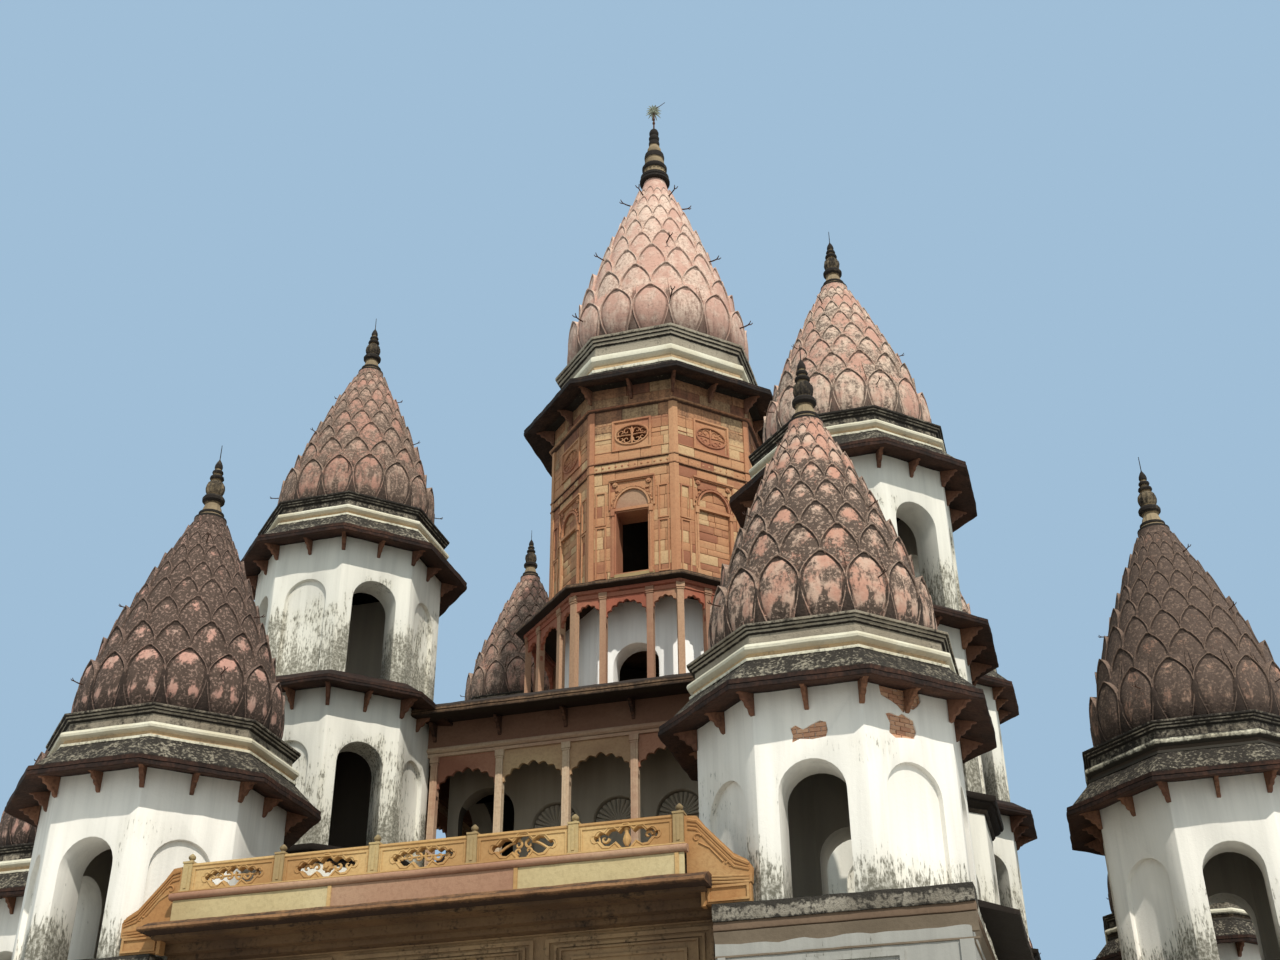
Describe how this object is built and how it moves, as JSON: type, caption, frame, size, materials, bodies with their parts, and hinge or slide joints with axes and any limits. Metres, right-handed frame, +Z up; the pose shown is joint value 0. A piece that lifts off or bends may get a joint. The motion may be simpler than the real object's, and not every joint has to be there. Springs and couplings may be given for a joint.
{
  "type": "hindu temple",
  "caption": "Tiered plastered-brick and sandstone temple on a cross plan, with octagonal arched turrets, lotus-bud spires with ringed finials, arcades and a front balcony.",
  "frame": {"origin": "at ground level on the underside of the plinth, below the middle of the central tower", "axes": "+Z up, -Y towards the entrance front and its steps, +X to the right of a person who faces the front"},
  "size_m": [21.7264, 23.1635, 27.52],
  "materials": {
    "lime_plaster": "matt lime plaster with grey weathering streaks",
    "sandstone": "matt orange and buff sandstone and terracotta-coloured render",
    "ochre_stone": "matt golden ochre stone",
    "lotus_plaster": "matt tinted plaster petals with lichen and soot",
    "weathered_stone": "matt stone slabs blackened by weather"
  },
  "bodies": {
    "root": {"drum_front_left": "lime_plaster", "lotus_front_left": "lotus_plaster", "drum_front_right": "lime_plaster", "lotus_front_right": "lotus_plaster", "drum_right_front": "lime_plaster", "lotus_right_front": "lotus_plaster", "drum_right_rear": "lime_plaster", "lotus_right_rear": "lotus_plaster", "drum_rear_right": "lime_plaster", "lotus_rear_right": "lotus_plaster", "drum_rear_left": "lime_plaster", "lotus_rear_left": "lotus_plaster", "drum_left_rear": "lime_plaster", "lotus_left_rear": "lotus_plaster", "drum_left_front": "lime_plaster", "lotus_left_front": "lotus_plaster", "middle_drum_front_left": "lime_plaster", "high_drum_front_left": "lime_plaster", "high_lotus_front_left": "lotus_plaster", "middle_drum_front_right": "lime_plaster", "high_drum_front_right": "lime_plaster", "high_lotus_front_right": "lotus_plaster", "middle_drum_rear_right": "lime_plaster", "high_drum_rear_right": "lime_plaster", "high_lotus_rear_right": "lotus_plaster", "middle_drum_rear_left": "lime_plaster", "high_drum_rear_left": "lime_plaster", "high_lotus_rear_left": "lotus_plaster", "ground_walls_front": "lime_plaster", "first_floor_front": "lime_plaster", "arcade_front": "sandstone", "ground_walls_right": "lime_plaster", "first_floor_right": "lime_plaster", "arcade_right": "sandstone", "ground_walls_rear": "lime_plaster", "first_floor_rear": "lime_plaster", "arcade_rear": "sandstone", "ground_walls_left": "lime_plaster", "first_floor_left": "lime_plaster", "arcade_left": "sandstone", "plinth": "weathered_stone", "front_steps": "weathered_stone", "portico_arches": "sandstone", "ground_roof": "weathered_stone", "balcony_band": "ochre_stone", "balustrade": "ochre_stone", "balcony_wing_left": "ochre_stone", "balcony_wing_right": "ochre_stone", "second_floor": "weathered_stone", "inner_room": "lime_plaster", "upper_terrace": "weathered_stone", "central_base": "lime_plaster", "gallery_ring": "sandstone", "gallery_roof": "weathered_stone", "central_drum": "sandstone", "central_eave": "weathered_stone", "central_lotus": "lotus_plaster"}
  },
  "joints": []
}
